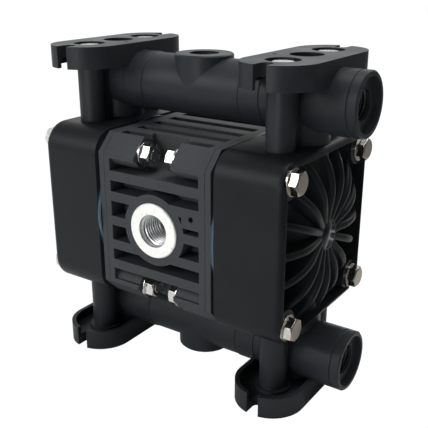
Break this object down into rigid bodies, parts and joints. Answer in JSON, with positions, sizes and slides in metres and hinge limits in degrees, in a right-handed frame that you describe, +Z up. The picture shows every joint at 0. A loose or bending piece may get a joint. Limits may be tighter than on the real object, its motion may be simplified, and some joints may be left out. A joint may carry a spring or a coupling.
{
  "type": "air operated diaphragm pump",
  "caption": "Compact twin diaphragm pump: square louvred centre block with a round air inlet, a ribbed fluid cap at each end, and top and bottom manifold pipes on slotted flanges.",
  "frame": {"origin": "on the floor plane of the feet, midway between the four foot slots and under the middle of the centre body", "axes": "+X along the shaft towards the end with the two pipe ports, -Y out of the air inlet, +Z up towards the outlet manifold"},
  "size_m": [0.1287, 0.07, 0.132],
  "materials": {
    "charcoal_plastic": "moulded, satin",
    "inlet_aluminium": "turned",
    "stainless_fasteners": "bright",
    "blue_elastomer": "smooth",
    "white_acetal": "machined",
    "black_rubber": "smooth",
    "grey_felt": "felt",
    "ball_polymer": "ground",
    "plate_aluminium": "machined",
    "ground_steel": "ground",
    "brass_sleeve": "machined"
  },
  "bodies": {
    "pump_housing": {"air_cover_left": "charcoal_plastic", "air_cover_right": "charcoal_plastic", "air_inlet_insert": "inlet_aluminium", "cap_bolts_left": "stainless_fasteners", "cap_bolts_right": "stainless_fasteners", "cap_nuts_left": "stainless_fasteners", "cap_nuts_right": "stainless_fasteners", "cap_washers_left": "stainless_fasteners", "cap_washers_right": "stainless_fasteners", "centre_body": "charcoal_plastic", "diaphragm_left": "blue_elastomer", "diaphragm_right": "blue_elastomer", "fluid_cap_left": "charcoal_plastic", "fluid_cap_right": "charcoal_plastic", "inlet_tee": "charcoal_plastic", "inlet_tee_rings": "black_rubber", "manifold_end_inlet_left": "charcoal_plastic", "manifold_end_inlet_right": "charcoal_plastic", "manifold_end_outlet_left": "charcoal_plastic", "manifold_end_outlet_right": "charcoal_plastic", "manifold_screws_inlet_left": "stainless_fasteners", "manifold_screws_inlet_right": "stainless_fasteners", "manifold_screws_outlet_left": "stainless_fasteners", "manifold_screws_outlet_right": "stainless_fasteners", "muffler_element": "grey_felt", "outlet_tee": "charcoal_plastic", "outlet_tee_rings": "black_rubber", "pilot_seals": "black_rubber", "shaft_bushes": "white_acetal", "shaft_seals": "black_rubber", "valve_cage_inlet_left": "white_acetal", "valve_cage_inlet_right": "white_acetal", "valve_cage_outlet_left": "white_acetal", "valve_cage_outlet_right": "white_acetal", "valve_plugs": "white_acetal", "valve_seat_inlet_left": "white_acetal", "valve_seat_inlet_right": "white_acetal", "valve_seat_outlet_left": "white_acetal", "valve_seat_outlet_right": "white_acetal", "valve_seat_rings": "black_rubber", "valve_sleeve": "brass_sleeve"},
    "shaft_group": {"shaft": "ground_steel", "inner_plate_left": "plate_aluminium", "inner_plate_right": "plate_aluminium", "outer_plate_left": "charcoal_plastic", "outer_plate_right": "charcoal_plastic"},
    "spool_group": {"valve_spool": "ground_steel"},
    "pilot_group": {"pilot_rod": "ground_steel"},
    "ball_inlet_left": {"check_ball_inlet_left": "ball_polymer"},
    "ball_inlet_right": {"check_ball_inlet_right": "ball_polymer"},
    "ball_outlet_left": {"check_ball_outlet_left": "ball_polymer"},
    "ball_outlet_right": {"check_ball_outlet_right": "ball_polymer"}
  },
  "joints": [
    {"name": "shaft_stroke", "type": "slide", "parent": "pump_housing", "child": "shaft_group", "axis": [1, 0, 0], "range_m": [-0.003, 0.003], "deforming": ["diaphragm_left", "diaphragm_right"]},
    {"name": "pilot_shift", "type": "slide", "parent": "pump_housing", "child": "pilot_group", "axis": [1, 0, 0], "range_m": [-0.0018, 0.0018]},
    {"name": "spool_shift", "type": "slide", "parent": "pump_housing", "child": "spool_group", "axis": [1, 0, 0], "range_m": [-0.003, 0.003]},
    {"name": "ball_lift_inlet_left", "type": "slide", "parent": "pump_housing", "child": "ball_inlet_left", "axis": [0, 0, 1], "range_m": [0, 0.0027]},
    {"name": "ball_lift_inlet_right", "type": "slide", "parent": "pump_housing", "child": "ball_inlet_right", "axis": [0, 0, 1], "range_m": [0, 0.0027]},
    {"name": "ball_lift_outlet_left", "type": "slide", "parent": "pump_housing", "child": "ball_outlet_left", "axis": [0, 0, 1], "range_m": [0, 0.0027]},
    {"name": "ball_lift_outlet_right", "type": "slide", "parent": "pump_housing", "child": "ball_outlet_right", "axis": [0, 0, 1], "range_m": [0, 0.0027]}
  ],
  "couplings": [
    {"joint": "pilot_shift", "follows": "shaft_stroke", "ratio": 0.6}
  ]
}
